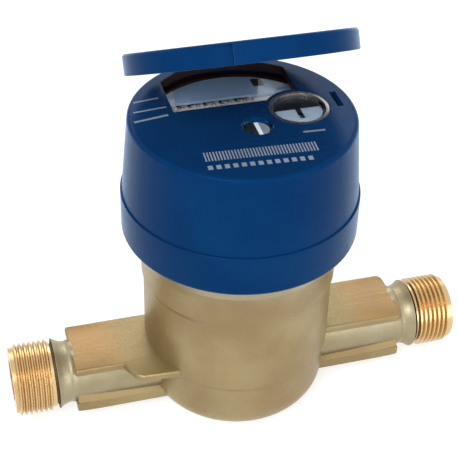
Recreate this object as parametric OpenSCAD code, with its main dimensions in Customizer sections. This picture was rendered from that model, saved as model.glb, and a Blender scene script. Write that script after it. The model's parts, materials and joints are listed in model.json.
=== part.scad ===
// Cold-water meter with a rotary piston: brass body with two threaded ends, a magnetic coupling, a dry
// counter in a blue housing, and a hinged lid. Millimetres, +Z up, X along the pipe, z = 0 at the foot.

/* [Pipe ends] */
// Length from thread end to thread end
pipe_len = 170; // [165:1:190]
// Height of the pipe axis above the foot
pipe_z = 16; // [15:0.5:18]
// Outside diameter of the end threads
thread_d = 26.44; // [25:0.02:27]
// Length of each end thread with its chamfer
thread_len = 16; // [12:0.5:17]
// Diameter of the waterway
bore_d = 15; // [13:0.5:15.5]
// Radius of the arms between the body and the end threads
arm_r = 11.3; // [10.5:0.1:11.6]
// Half width of the flat pads along the arms
pad_half_w = 12.5; // [12:0.1:13]
// Distance from the pipe's middle to the ends of the pads
pad_reach = 63; // [58:0.5:64]

/* [Body] */
// Radius of the body's lower wall
bowl_r = 33.2; // [32.8:0.1:35]
// Rounding between the foot and the lower wall
bowl_round = 12; // [8:0.5:14]
// Height of the lower step in the wall
step_low_z = 23.6; // [20:0.2:30]
// Height of the upper step in the wall
step_high_z = 54.4; // [48:0.2:60]
// Radius of the measuring cavity
cavity_r = 30; // [29.8:0.1:30.4]

/* [Housing] */
// Wall of the lower ring round the housing's spigot
skirt_wall = 2.6; // [2:0.1:4]
// Height of the lower ring's bottom edge
skirt_z = 74.5; // [73:0.1:75]
// Height of the seam between the lower ring and the upper housing
seam_z = 90.1; // [88:0.1:94]
// Radius of the upper housing just above the seam
cup_r_low = 40.9; // [40:0.1:43]
// Radius of the upper housing at its top edge
cup_r_top = 38.6; // [38.2:0.1:41]
// Height of the top face
face_z = 119; // [118.6:0.1:122]
// Half width of the dial window
window_half_w = 22; // [18:0.5:23]
// Distance of the dial window's front edge behind the middle
window_y = 6.3; // [5:0.1:9]
// Radius of the round eye over the target disc
eye_r = 10.3; // [9.9:0.1:10.6]
// Radius of the small eye over the flow wheel
small_eye_r = 5.3; // [4.5:0.1:5.8]

/* [Lid] */
// Radius of the lid
lid_r = 38.4; // [37.5:0.1:39]
// Thickness of the lid with its rim
lid_t = 7; // [5:0.1:8]
// Angle at which the lid stands open
lid_open = 30; // [0:0.1:75]
// Half angle of the thumb recess in the lid's rim
thumb_half = 16; // [10:1:30]
// Direction of the thumb recess, counted from the front towards the inlet
thumb_dir = 34; // [0:1:60]

/* [Measuring chamber] */
// Inside radius of the measuring chamber
chamber_r = 24; // [23.6:0.1:24.2]
// Distance of the piston's centre from the chamber's centre
piston_ecc = 4.3; // [3.8:0.1:4.6]
// Thickness of the piston's wall
piston_wall = 2; // [1.6:0.1:2.2]
// Thickness of the division plate
plate_t = 1.2; // [0.8:0.1:1.6]

/* [Counter] */
// Tooth module of the reduction wheels
gear_m = 0.6; // [0.56:0.01:0.61]
// Teeth of the small pinions
teeth_small = 10; // [10:1:11]
// Teeth of the large wheels
teeth_large = 40; // [37:1:40]
// Teeth of the worm wheel
teeth_worm = 16; // [15:1:17]
// Radius of the number drums
drum_r = 5; // [4.6:0.1:5.2]
// Distance from one number drum to the next
drum_pitch = 5.6; // [5.4:0.1:5.7]

/* [Clearances] */
// Radial clearance of turning pins in their holes
run_fit = 0.05; // [0.02:0.01:0.1]
// Gap between pieces that pass each other or are pushed together
gap = 0.3; // [0.2:0.05:0.4]

/* [Hidden] */
$fn = 96;
eps = 0.01;

brass = "#b49a5e";
blue = "#1b3f74";
dark_plastic = "#33363a";
white_plastic = "#e4e4e0";
steel = "#9ea3a8";

// Pipe ends
thread_r = thread_d / 2;
thread_x = pipe_len / 2 - thread_len;
thread_chamfer = 1.2;
neck_r = arm_r + 0.9;
bore_r = bore_d / 2;
pad_top_z = pipe_z + 10.8;
pad_t = 3;
rib_low_z = pipe_z - 10;
rib_t = 3.8;

// Body, from the foot up: inlet space, web, measuring cavity, counterbore for the pressure plate
mid_r = bowl_r + 1;
top_r = bowl_r + 1.7;
step_half = 1;
inlet_r = 18;
inlet_z = pipe_z - bore_r - 1.5;
web_z = pipe_z + 10;
port_r = 4.3;
port_x = cavity_r - port_r - 0.2;
flange_z = skirt_z + 1.5;
flange_h = 5;
body_h = flange_z + flange_h;
flange_r = cavity_r + 8;
bore_stop = flange_r + 2;
channel_r = bore_r - 1;
counter_r = cavity_r + 3.1;
counter_z = body_h - 10;
lip_r = top_r + 3.7;
lip_z = skirt_z - 3.1;
lip_round = 1.2;
flare_h = 7;

// Measuring chamber, from its foot up
gasket_t = 1;
foot_in_r = inlet_r + 0.5;
foot_out_r = inlet_r + 2.7;
chamber_z = web_z + gasket_t;
floor_z = chamber_z + 4;
floor_t = 2.5;
room_z = floor_z + floor_t;
chamber_wall = 2.6;
chamber_out_r = chamber_r + chamber_wall;
cover_z = counter_z - 12;
cover_t = 3;
piston_r = chamber_r - piston_ecc - gap;
piston_in_r = piston_r - piston_wall;
hub_r = piston_in_r - piston_ecc - gap;
web_mid_z = (room_z + cover_z) / 2;
web_half_t = 1;
pin_r = 2;
upper_hub_in_r = piston_ecc + pin_r + 2;
plate_bite = 0.8;
plate_slot = plate_t / 2 + 0.02;
piston_slot = piston_ecc + plate_t / 2 + gap;

// Spindle and magnets
driver_r = piston_ecc + pin_r + 1.7;
driver_z = cover_z + cover_t + 0.6;
driver_t = 2;
spindle_r = 2;
magnet_r = 7;
magnet_h = 4.7;
magnet_z = driver_z + driver_t + 4.6;
pocket_r = magnet_r + 1.5;
pocket_top = magnet_z + magnet_h + 0.6;
spindle_top = pocket_top + 1.5;
plate_top = counter_z + 7;
seal_r = 0.8;
seal_ring_r = (cavity_r + counter_r) / 2;

// Register can, its glass, dial and frame
shoulder_t = 1.5;
can_z = body_h + shoulder_t;
can_base = 2;
can_floor = can_z + can_base;
can_out_r = cavity_r + 5.6;
can_in_r = can_out_r - 2.1;
face_t = 3;
bezel_w = 1.1;
glass_t = 2.5;
glass_z = face_z - face_t - gap - glass_t;
dial_t = 1;
dial_top = glass_z - 0.4;
dial_z = dial_top - dial_t;
dial_r = can_in_r - 1;
dome_z = face_z - 0.8;
dome_t = 0.6;
frame_z = can_floor + 13;
frame_t = 1.5;
frame_r = can_in_r - 2.5;
post_r = 1.5;
post_ring = frame_r - 2;
arbor_r = 0.8;
centre_post_r = 1.2;

// Reduction wheels: pitch radii and centres
small_r = gear_m * teeth_small / 2;
large_r = gear_m * teeth_large / 2;
eye_x = can_in_r - 14.2;
eye_y = -0.8;
teeth_flow = 19;
flow_c = small_r + gear_m * teeth_flow / 2;
flow_dir = -72.6;
flow_x = flow_c * cos(flow_dir);
flow_y = flow_c * sin(flow_dir);
stage_c = small_r + large_r;
eye_dist = norm([eye_x, eye_y]);
eye_dir = atan2(eye_y, eye_x);
wheel_dir = eye_dir + acos(eye_dist / 2 / stage_c);
wheel_x = stage_c * cos(wheel_dir);
wheel_y = stage_c * sin(wheel_dir);
wheel_to_eye = atan2(eye_y - wheel_y, eye_x - wheel_x);
flow_turn = mesh_turn(teeth_small, 0, flow_dir, teeth_flow);
wheel_turn = mesh_turn(teeth_small, 0, wheel_dir, teeth_large);
target_turn = mesh_turn(teeth_small, wheel_turn, wheel_to_eye, teeth_large);
pinion_z = can_floor + 5;
flow_gear_z = pinion_z + 0.5;
wheel_z = pinion_z + 2.7;
wheel_t = 1.5;
wheel_pinion_z = wheel_z + wheel_t;
target_gear_z = wheel_pinion_z + 1;
marker_t = 1;
marker_z = dome_z - dome_t - gap - marker_t;
eye_dome_r = eye_r - 0.1 - bezel_w - 0.1;
small_dome_r = small_eye_r - 0.2;
target_r = eye_dome_r - dome_t - 0.4;
target_slot = 1.9;
flow_disc_r = small_dome_r - dome_t - 0.4;

// Worm and number drums
worm_lead = PI * gear_m;
worm_r = 2.13;
worm_core_r = 1.5;
worm_tip_r = worm_r + 0.4;
worm_turns = 2;
worm_wheel_r = gear_m * teeth_worm / 2;
drum_y = wheel_y + worm_r + worm_wheel_r;
drum_z = dial_z - drum_r - 0.5;
drum_w = 3.9;
drum_x = wheel_x - 1.9;
drum_shaft_r = 1;
carry_m = 0.43;
carry_teeth = 20;
carry_pinion_teeth = 8;
carry_c = carry_m * (carry_teeth + carry_pinion_teeth) / 2;
carry_gear_w = 0.75;
carry_disc_r = 3.5;
carry_disc_w = 0.6;
carry_turn = mesh_turn(carry_teeth, 0, 90, carry_pinion_teeth);
pinion_y = drum_y + carry_c;
pinion_shaft_r = 0.6;
pinion_w = drum_pitch - drum_w - gap;
bracket_t = 1.2;
bracket_left = drum_x - 4 * drum_pitch - drum_w - 0.5 - bracket_t;
bracket_right = wheel_x + 1.4;

// Housing, lid and hinge
cup_in_r = can_out_r + 0.6;
spigot_r = cup_in_r + 2.4;
spigot_z = can_z + 0.8;
skirt_r = spigot_r + gap + skirt_wall;
seam_gap = 0.5;
skirt_round = 1.5;
rim_round = 1.6;
eye_boss_r = eye_r + 1.3;
lid_z = face_z + 0.5;
lid_plate_t = 2;
lid_wall = 2;
thumb_depth = 1.2;
thumb_lip = 0.7;
hinge_y = lid_r - 4.8;
hinge_z = lid_z + lid_t / 2;
hinge_pin_r = 1;
knuckle_r = lid_t / 2;
knuckle_half = 9.5;
lug_in = knuckle_half + gap;
lug_w = 5;
lug_out = lug_in + lug_w;

// Turn that puts wheel b, reached along direction dir, in mesh with wheel a turned by rho
function mesh_turn(na, rho, dir, nb) = dir + 180 - 360 / nb * (0.5 - (dir - rho) * na / 360);

// Corners of a wheel with straight-sided teeth, thinned a little for play
function tooth_points(n, m) = [
    for (i = [0:n - 1], k = [0:3])
        let (half = [0.31, 0.10, -0.10, -0.31][k],
             r = m * n / 2 + (k == 1 || k == 2 ? 0.8 * m : -1.1 * m),
             a = (i - half) * 360 / n)
        [r * cos(a), r * sin(a)]
];

// Toothed wheel on the xy plane
module gear(n, m, t) {
    linear_extrude(t)
        polygon(tooth_points(n, m));
}

// Flat ring standing on height z
module ring(r_out, r_in, z, h) {
    translate([0, 0, z])
        difference() {
            cylinder(r = r_out, h = h);
            translate([0, 0, -eps])
                cylinder(r = r_in, h = h + 2 * eps);
        }
}

// Puts what is drawn along +Z along +X, from x on the line through y and z
module along_x(x, y, z) {
    translate([x, y, z])
        rotate([0, 90, 0])
            children();
}

// One arm with its neck and threaded end, along +X
module arm() {
    along_x(0, 0, pipe_z)
        rotate_extrude()
            polygon([[0, 0], [arm_r, 0], [arm_r, thread_x - 7], [neck_r, thread_x - 2], [neck_r, thread_x],
                     [thread_r, thread_x], [thread_r, pipe_len / 2 - thread_chamfer],
                     [thread_r - thread_chamfer, pipe_len / 2], [0, pipe_len / 2]]);
}

// Plate with rounded outer corners along one arm, from the middle to the pads' reach
module arm_plate(half_w, z, t, corner) {
    translate([0, 0, z]) {
        translate([0, -half_w, 0])
            cube([pad_reach - corner, 2 * half_w, t]);
        translate([0, corner - half_w, 0])
            cube([pad_reach, 2 * (half_w - corner), t]);
        for (side = [-1, 1])
            translate([pad_reach - corner, side * (half_w - corner), 0])
                cylinder(r = corner, h = t);
    }
}

// Turned outside of the body with its two sloping steps, flared lip and flange
module body_turned() {
    lip_in = lip_r - lip_round;
    rotate_extrude() {
        square([bowl_r - bowl_round, bowl_round + eps]);
        intersection() {
            translate([bowl_r - bowl_round, bowl_round])
                circle(r = bowl_round);
            square([bowl_r + 1, bowl_round]);
        }
        polygon([[0, bowl_round], [bowl_r, bowl_round], [bowl_r, step_low_z - step_half],
                 [mid_r, step_low_z + step_half], [mid_r, step_high_z - step_half],
                 [top_r, step_high_z + step_half], [top_r, lip_z - flare_h], [lip_in, lip_z],
                 [lip_in, skirt_z - gap], [top_r, skirt_z - gap], [top_r, body_h], [0, body_h]]);
        translate([lip_in, lip_z + lip_round])
            circle(r = lip_round);
        translate([0, lip_z + lip_round])
            square([lip_r, skirt_z - gap - lip_z - lip_round]);
        translate([0, flange_z])
            square([flange_r, flange_h]);
    }
}

// Brass casting: bowl, arms, pads and waterways in one piece
module body() {
    color(brass)
        difference() {
            union() {
                body_turned();
                arm();
                arm_plate(pad_half_w, pad_top_z - pad_t, pad_t, 2.5);
                arm_plate(pad_half_w - 0.5, rib_low_z, rib_t, 0.8);
                mirror([1, 0, 0]) {
                    arm();
                    arm_plate(pad_half_w, pad_top_z - pad_t, pad_t, 0.8);
                    arm_plate(pad_half_w - 0.5, rib_low_z, rib_t, 0.8);
                }
                translate([0, 0, pad_top_z - pad_t])
                    linear_extrude(pad_t)
                        polygon([[-pad_reach + 17.5, -pad_half_w], [-pad_reach + 21.5, -pad_half_w - 8],
                                 [-25, -pad_half_w - 9], [-20, 0], [-pad_reach + 17.5, 0]]);
            }
            translate([0, 0, inlet_z])
                cylinder(r = inlet_r, h = web_z - inlet_z + eps);
            translate([0, 0, web_z])
                cylinder(r = cavity_r, h = body_h);
            translate([0, 0, counter_z])
                cylinder(r = counter_r, h = body_h);
            for (end = [0, 1])
                mirror([1 - end, 0, 0])
                    along_x(bore_stop, 0, pipe_z)
                        cylinder(r = bore_r, h = pipe_len / 2);
            along_x(-pipe_len / 2, 0, pipe_z)
                cylinder(r = channel_r, h = pipe_len / 2);
            along_x(port_x - port_r - 0.8, 0, pipe_z)
                cylinder(r = channel_r, h = pipe_len / 2 - port_x);
            translate([port_x, 0, pipe_z])
                cylinder(r = port_r, h = web_z - pipe_z + eps);
        }
}

// Perforated ring in the inlet space
module strainer() {
    color(white_plastic)
        difference() {
            ring(inlet_r - gap, inlet_r - gap - 1, inlet_z, web_z - inlet_z - 0.5);
            for (row = [0:2], k = [0:17])
                rotate([0, 0, k * 20 + row * 10])
                    along_x(inlet_r - 3, 0, inlet_z + 3.5 + row * 5)
                        cylinder(r = 1.4, h = 4, $fn = 24);
        }
}

// Flat gasket under the chamber's foot
module chamber_gasket() {
    color("#26282b")
        ring(foot_out_r, foot_in_r, web_z, gasket_t);
}

// Groove that holds the division plate
module plate_groove() {
    translate([-chamber_r - plate_bite, -plate_slot, room_z])
        cube([chamber_r + 2 * plate_bite - hub_r, 2 * plate_slot, cover_z - room_z + eps]);
}

// Measuring chamber: foot ring, floor with inlet holes, wall with outlet window, lower hub
module chamber() {
    color(dark_plastic)
        difference() {
            union() {
                ring(foot_out_r, foot_in_r, chamber_z, floor_z - chamber_z + eps);
                translate([0, 0, floor_z])
                    cylinder(r = chamber_out_r, h = floor_t);
                ring(chamber_out_r, chamber_r, room_z - eps, cover_z - room_z + eps);
                translate([0, 0, room_z - eps])
                    cylinder(r = hub_r, h = web_mid_z - web_half_t - gap - room_z + eps);
            }
            plate_groove();
            for (a = [196, 214, 232])
                rotate([0, 0, a])
                    translate([hub_r + 2.8, 0, floor_z - eps])
                        cylinder(r = 2.2, h = floor_t + 2 * eps, $fn = 32);
            rotate([0, 0, 148])
                translate([chamber_r - 1, -5, room_z + 4])
                    cube([chamber_wall + 2, 10, cover_z - room_z - 8]);
        }
}

// Plate between the inlet and outlet sides of the chamber
module division_plate() {
    color(steel)
        translate([-chamber_r - plate_bite + 0.02, -plate_t / 2, room_z])
            cube([chamber_r + 2 * plate_bite - hub_r - 0.04, plate_t, cover_z - room_z]);
}

// Rotary piston: slotted cylinder with a web at half height and a driving pin, at its eccentric place
module piston() {
    color("#5b5f63")
        translate([piston_ecc, 0, 0])
            difference() {
                union() {
                    ring(piston_r, piston_in_r, room_z + gap, cover_z - room_z - 2 * gap);
                    translate([0, 0, web_mid_z - web_half_t])
                        cylinder(r = piston_in_r + eps, h = 2 * web_half_t);
                    translate([0, 0, web_mid_z])
                        cylinder(r = pin_r, h = driver_z + driver_t - gap - web_mid_z);
                }
                translate([-piston_r - 1, -piston_slot, room_z])
                    cube([piston_r + 1 + piston_ecc + plate_bite + gap - hub_r, 2 * piston_slot,
                          cover_z - room_z]);
            }
}

// Cover of the chamber with the upper hub round the piston's pin
module chamber_cover() {
    color(dark_plastic)
        difference() {
            union() {
                translate([0, 0, cover_z])
                    cylinder(r = chamber_out_r, h = cover_t);
                translate([0, 0, web_mid_z + web_half_t + gap])
                    cylinder(r = hub_r, h = cover_z - web_mid_z - web_half_t - gap + eps);
            }
            translate([0, 0, web_mid_z])
                cylinder(r = upper_hub_in_r, h = cover_z - web_mid_z + cover_t + eps);
            plate_groove();
        }
}

// Spindle: driver disc with the hole for the piston's pin, shoulder and shaft
module spindle() {
    color(steel)
        difference() {
            union() {
                translate([0, 0, driver_z])
                    cylinder(r = driver_r, h = driver_t);
                translate([0, 0, driver_z + driver_t - eps])
                    cylinder(r = spindle_r + 1.5, h = magnet_z - driver_z - driver_t + eps);
                translate([0, 0, driver_z])
                    cylinder(r = spindle_r, h = spindle_top - driver_z);
            }
            translate([piston_ecc, 0, driver_z - eps])
                cylinder(r = pin_r + run_fit, h = driver_t + 1);
        }
}

// Ring magnet on the spindle
module drive_magnet() {
    color("#2b2b2d")
        ring(magnet_r, spindle_r + 0.02, magnet_z, magnet_h);
}

// Round seal between the pressure plate and the body
module plate_seal() {
    color("#1d1d1f")
        translate([0, 0, counter_z + seal_r])
            rotate_extrude()
                translate([seal_ring_r, 0])
                    circle(r = seal_r);
}

// Plate that closes the wet side, with the magnet's pocket and the spindle's bearing below
module pressure_plate() {
    color(dark_plastic)
        difference() {
            translate([0, 0, counter_z])
                cylinder(r = counter_r - 0.1, h = plate_top - counter_z);
            translate([0, 0, counter_z - eps])
                cylinder(r = pocket_r, h = pocket_top - counter_z + eps);
            translate([0, 0, counter_z])
                cylinder(r = spindle_r + run_fit, h = spindle_top + 0.2 - counter_z);
            ring(seal_ring_r + seal_r + 0.1, seal_ring_r - seal_r - 0.1, counter_z - eps, 2 * seal_r + eps);
        }
}

// Threaded ring with spanner notches that holds the pressure plate down
module retaining_ring() {
    color(brass)
        difference() {
            ring(counter_r - 0.1, counter_r - 5, plate_top, body_h - plate_top);
            for (a = [45:90:315])
                rotate([0, 0, a])
                    translate([counter_r - 6, -2, plate_top + 1.2])
                        cube([3.5, 4, body_h - plate_top]);
        }
}

// Lower ring of the housing with the shoulder that the register can stands on
module skirt() {
    color(blue)
        difference() {
            rotate_extrude() {
                translate([0, skirt_z + skirt_round])
                    square([skirt_r, seam_z - skirt_z - skirt_round]);
                translate([0, skirt_z])
                    square([skirt_r - skirt_round, skirt_round + 0.5]);
                translate([skirt_r - skirt_round, skirt_z + skirt_round])
                    circle(r = skirt_round);
            }
            translate([0, 0, skirt_z - 1])
                cylinder(r = flange_r + gap, h = body_h - skirt_z + 1);
            translate([0, 0, skirt_z])
                cylinder(r = can_out_r - 1.6, h = seam_z);
            translate([0, 0, can_z])
                cylinder(r = spigot_r + gap, h = seam_z);
        }
}

// Register can with the fixed post of the follower and the lower bearings of the arbors
module can() {
    color("#8a5a3c")
        difference() {
            union() {
                translate([0, 0, can_z])
                    cylinder(r = can_out_r, h = can_base);
                ring(can_out_r, can_in_r, can_z, glass_z - can_z);
                translate([0, 0, can_z])
                    cylinder(r = centre_post_r, h = frame_z - can_z - 0.6);
            }
            for (p = [[flow_x, flow_y], [wheel_x, wheel_y], [eye_x, eye_y]])
                translate([p[0], p[1], can_floor - 1])
                    cylinder(r = arbor_r + run_fit, h = 2, $fn = 48);
        }
}

// Follower: pinion on a sleeve that turns on the can's post
module follower() {
    color(white_plastic)
        difference() {
            union() {
                translate([0, 0, can_floor + gap])
                    cylinder(r = centre_post_r + 1, h = pinion_z - can_floor);
                translate([0, 0, pinion_z])
                    gear(teeth_small, gear_m, 5);
            }
            translate([0, 0, can_z])
                cylinder(r = centre_post_r + run_fit, h = frame_z);
        }
}

// Ring magnet on the follower's sleeve
module follower_magnet() {
    color("#2b2b2d")
        ring(magnet_r, centre_post_r + 1.02, can_floor + 0.6, pinion_z - can_floor - 0.6);
}

// Arbor with its lower pivot in the can
module arbor(top) {
    translate([0, 0, can_floor - 0.8])
        cylinder(r = arbor_r, h = top - can_floor + 0.8, $fn = 48);
}

// Flow wheel: toothed wheel on an arbor with its marker disc under the small eye
module flow_wheel() {
    color("#c8c8c4")
        translate([flow_x, flow_y, 0]) {
            arbor(marker_z);
            translate([0, 0, flow_gear_z])
                rotate([0, 0, flow_turn])
                    gear(teeth_flow, gear_m, wheel_t);
            translate([0, 0, marker_z])
                cylinder(r = flow_disc_r, h = marker_t);
        }
}

// First reduction wheel with its pinion and the arbor that carries the worm
module wheel_1() {
    color(white_plastic)
        translate([wheel_x, wheel_y, 0]) {
            arbor(drum_z + worm_turns * worm_lead);
            rotate([0, 0, wheel_turn]) {
                translate([0, 0, wheel_z])
                    gear(teeth_large, gear_m, wheel_t);
                translate([0, 0, wheel_pinion_z - eps])
                    gear(teeth_small, gear_m, 3);
            }
        }
}

// Section of the worm across its axis: core circle with one raised flank
function worm_points() = [
    for (a = [-180:30:150])
        let (rise = max(0, min(1, (105 - abs(a)) / 60)),
             r = worm_core_r + (worm_tip_r - worm_core_r) * rise)
        [r * cos(a), r * sin(a)]
];

// Single-start worm on the first wheel's arbor
module worm() {
    color("#d8c49a")
        translate([wheel_x, wheel_y, drum_z - worm_turns * worm_lead])
            rotate([0, 0, -90])
                difference() {
                    linear_extrude(2 * worm_turns * worm_lead, twist = -720 * worm_turns,
                                   slices = 32 * worm_turns, $fn = 12)
                        polygon(worm_points());
                    translate([0, 0, -1])
                        cylinder(r = arbor_r + 0.02, h = 20, $fn = 48);
                }
}

// Second reduction wheel on the arbor under the round eye
module wheel_2() {
    color(white_plastic)
        translate([eye_x, eye_y, 0]) {
            arbor(marker_z);
            translate([0, 0, target_gear_z])
                rotate([0, 0, target_turn])
                    gear(teeth_large, gear_m, wheel_t);
        }
}

// Disc on the second wheel's arbor, just under the round eye, with a slot towards its edge
module target_disc() {
    color("#b9c4cf")
        translate([eye_x, eye_y, marker_z])
            difference() {
                cylinder(r = target_r, h = marker_t);
                translate([-target_slot / 2, -target_r * 0.56, -eps])
                    cube([target_slot, target_r * 0.56 - arbor_r - gap, marker_t + 2 * eps]);
            }
}

// Upright ear of the frame that carries the drum shaft and the pinion shaft
module bracket(x) {
    difference() {
        translate([x, drum_y - 3, frame_z])
            cube([bracket_t, carry_c + 4.5, drum_z + 2.2 - frame_z]);
        along_x(x - 1, drum_y, drum_z)
            cylinder(r = drum_shaft_r + 0.02, h = bracket_t + 2, $fn = 48);
        along_x(x - 1, pinion_y, drum_z)
            cylinder(r = pinion_shaft_r + 0.02, h = bracket_t + 2, $fn = 48);
    }
}

// Frame of the movement: plate with bearings, three posts and the ears for the shafts
module movement_frame() {
    color("#c9c5b8") {
        difference() {
            translate([0, 0, frame_z])
                cylinder(r = frame_r, h = frame_t);
            for (p = [[flow_x, flow_y], [wheel_x, wheel_y], [eye_x, eye_y]])
                translate([p[0], p[1], frame_z - eps])
                    cylinder(r = arbor_r + run_fit, h = frame_t + 2 * eps, $fn = 48);
        }
        for (a = [66, 180, 294])
            rotate([0, 0, a])
                translate([post_ring, 0, can_floor])
                    cylinder(r = post_r, h = dial_z - can_floor);
        bracket(bracket_left);
        bracket(bracket_right);
    }
}

// Shaft of the number drums
module drum_shaft() {
    color(steel)
        along_x(bracket_left - 0.5, drum_y, drum_z)
            cylinder(r = drum_shaft_r, h = bracket_right - bracket_left + bracket_t + 1, $fn = 48);
}

// Number drum k, counted from the fastest, with its driving teeth and its carry disc
module drum(k) {
    x = drum_x - k * drum_pitch;
    color(white_plastic)
        along_x(0, drum_y, drum_z)
            difference() {
                union() {
                    translate([0, 0, x - drum_w])
                        cylinder(r = drum_r, h = drum_w);
                    if (k == 0)
                        translate([0, 0, x - eps])
                            gear(teeth_worm, gear_m, 2.6);
                    if (k > 0)
                        translate([0, 0, x - eps])
                            gear(carry_teeth, carry_m, carry_gear_w);
                    if (k < 4)
                        translate([0, 0, x - drum_w - carry_disc_w])
                            cylinder(r = carry_disc_r, h = carry_disc_w + eps);
                    if (k < 4)
                        for (a = [-9, 9])
                            rotate([0, 0, 270 + a])
                                translate([carry_disc_r - 0.5, -0.3, x - drum_w - carry_disc_w])
                                    cube([1.5, 0.6, carry_disc_w + eps]);
                }
                translate([0, 0, x - drum_pitch])
                    cylinder(r = drum_shaft_r + run_fit, h = 3 * drum_pitch, $fn = 48);
            }
}

module drum_1() drum(0);
module drum_2() drum(1);
module drum_3() drum(2);
module drum_4() drum(3);
module drum_5() drum(4);

// Shaft of the carry pinions
module pinion_shaft() {
    color(steel)
        along_x(bracket_left - 0.5, pinion_y, drum_z)
            cylinder(r = pinion_shaft_r, h = bracket_right - bracket_left + bracket_t + 1, $fn = 48);
}

// Carry pinion between drum k and the next slower drum
module pinion(k) {
    color("#d0b060")
        along_x(drum_x - k * drum_pitch - drum_w - pinion_w - gap / 2, pinion_y, drum_z)
            difference() {
                rotate([0, 0, carry_turn])
                    gear(carry_pinion_teeth, carry_m, pinion_w);
                translate([0, 0, -1])
                    cylinder(r = pinion_shaft_r + run_fit, h = pinion_w + 2, $fn = 48);
            }
}

module pinion_1() pinion(0);
module pinion_2() pinion(1);
module pinion_3() pinion(2);
module pinion_4() pinion(3);

// Grey dial plate with the slot over the drums and holes for the two arbors
module dial_plate() {
    color("#8b94a2")
        difference() {
            translate([0, 0, dial_z])
                cylinder(r = dial_r, h = dial_t);
            translate([drum_x - 4 * drum_pitch - drum_w - 0.4, drum_y - 2.6, dial_z - eps])
                cube([4 * drum_pitch + drum_w + 0.8, 5.2, dial_t + 2 * eps]);
            for (p = [[flow_x, flow_y], [eye_x, eye_y]])
                translate([p[0], p[1], dial_z - eps])
                    cylinder(r = arbor_r + gap, h = dial_t + 2 * eps, $fn = 48);
        }
}

// Glass on the rim of the register can, with a hollow dome for each disc
module glass() {
    color("#d5dde6", 0.35)
        difference() {
            union() {
                translate([0, 0, glass_z])
                    cylinder(r = can_out_r - 0.4, h = glass_t);
                translate([eye_x, eye_y, glass_z])
                    cylinder(r = eye_dome_r, h = dome_z - glass_z);
                translate([flow_x, flow_y, glass_z])
                    cylinder(r = small_dome_r, h = dome_z - glass_z);
            }
            translate([eye_x, eye_y, glass_z - eps])
                cylinder(r = eye_dome_r - dome_t, h = dome_z - dome_t - glass_z + eps);
            translate([flow_x, flow_y, glass_z - eps])
                cylinder(r = small_dome_r - dome_t, h = dome_z - dome_t - glass_z + eps);
        }
}

// Lining ring of the round eye
module eye_bezel() {
    color("#7d6a5a")
        translate([eye_x, eye_y, 0])
            ring(eye_r - 0.1, eye_r - 0.1 - bezel_w, glass_z + glass_t, face_z - glass_z - glass_t);
}

// Ear of the hinge on the housing's back edge, x from lo to lo + w
module hinge_lug(lo) {
    difference() {
        union() {
            along_x(lo, hinge_y, hinge_z)
                cylinder(r = knuckle_r, h = lug_w);
            translate([lo, hinge_y - knuckle_r, face_z - face_t])
                cube([lug_w, knuckle_r + 0.6, hinge_z - face_z + face_t]);
        }
        along_x(lo - 1, hinge_y, hinge_z)
            cylinder(r = hinge_pin_r + 0.02, h = lug_w + 2, $fn = 48);
    }
}

// Openings of the top face: dial window, round eye, small eye and a slot at the edge
module face_openings() {
    difference() {
        intersection() {
            translate([-window_half_w, window_y, face_z - face_t - 1])
                cube([2 * window_half_w, can_in_r, face_t + 2]);
            translate([0, 0, face_z - face_t - 1])
                cylinder(r = can_in_r + 0.4, h = face_t + 2);
        }
        translate([eye_x, eye_y, face_z - face_t - 2])
            cylinder(r = eye_boss_r, h = face_t + 4);
    }
    translate([eye_x, eye_y, face_z - face_t - 1])
        cylinder(r = eye_r, h = face_t + 2);
    translate([flow_x, flow_y, face_z - face_t - 1])
        cylinder(r = small_eye_r, h = face_t + 2);
    translate([cup_r_top - 6.2, -3, face_z - 2])
        cube([1.8, 9, 3]);
}

// Upper housing: tapered cup with a spigot in the lower ring, a pierced face and the hinge ears
module housing() {
    color(blue)
        difference() {
            union() {
                translate([0, 0, seam_z + seam_gap])
                    cylinder(r1 = cup_r_low, r2 = cup_r_top, h = face_z - rim_round - seam_z - seam_gap);
                rotate_extrude() {
                    translate([0, face_z - rim_round - eps])
                        square([cup_r_top - rim_round, rim_round + eps]);
                    intersection() {
                        translate([cup_r_top - rim_round, face_z - rim_round])
                            circle(r = rim_round);
                        translate([0, face_z - rim_round - eps])
                            square([cup_r_top + 1, rim_round + 1]);
                    }
                }
                translate([0, 0, spigot_z])
                    cylinder(r = spigot_r, h = seam_z + seam_gap - spigot_z + eps);
                hinge_lug(lug_in);
                hinge_lug(-lug_out);
            }
            translate([0, 0, spigot_z - 1])
                cylinder(r = cup_in_r, h = face_z - face_t - spigot_z + 1);
            face_openings();
        }
}

// Lid as it lies when shut: plate, rim, thumb recess and hinge knuckle
module lid_shut() {
    difference() {
        union() {
            difference() {
                translate([0, 0, lid_z])
                    rotate_extrude() {
                        square([lid_r, lid_t - 1.2]);
                        square([lid_r - 1.2, lid_t]);
                        translate([lid_r - 1.2, lid_t - 1.2])
                            circle(r = 1.2);
                    }
                translate([0, 0, lid_z - 1])
                    cylinder(r = lid_r - lid_wall, h = lid_t - lid_plate_t + 1);
                translate([-lid_r, hinge_y - knuckle_r - gap, lid_z - 1])
                    cube([2 * lid_r, lid_r, lid_t + 2]);
                thumb_recess();
            }
            along_x(-knuckle_half, hinge_y, hinge_z)
                cylinder(r = knuckle_r, h = 2 * knuckle_half);
            translate([-knuckle_half, hinge_y - knuckle_r - 3, lid_z + lid_t - lid_plate_t])
                cube([2 * knuckle_half, knuckle_r + 3, lid_plate_t]);
        }
        along_x(-knuckle_half - 1, hinge_y, hinge_z)
            cylinder(r = hinge_pin_r + run_fit, h = 2 * knuckle_half + 2, $fn = 48);
    }
}

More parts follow.
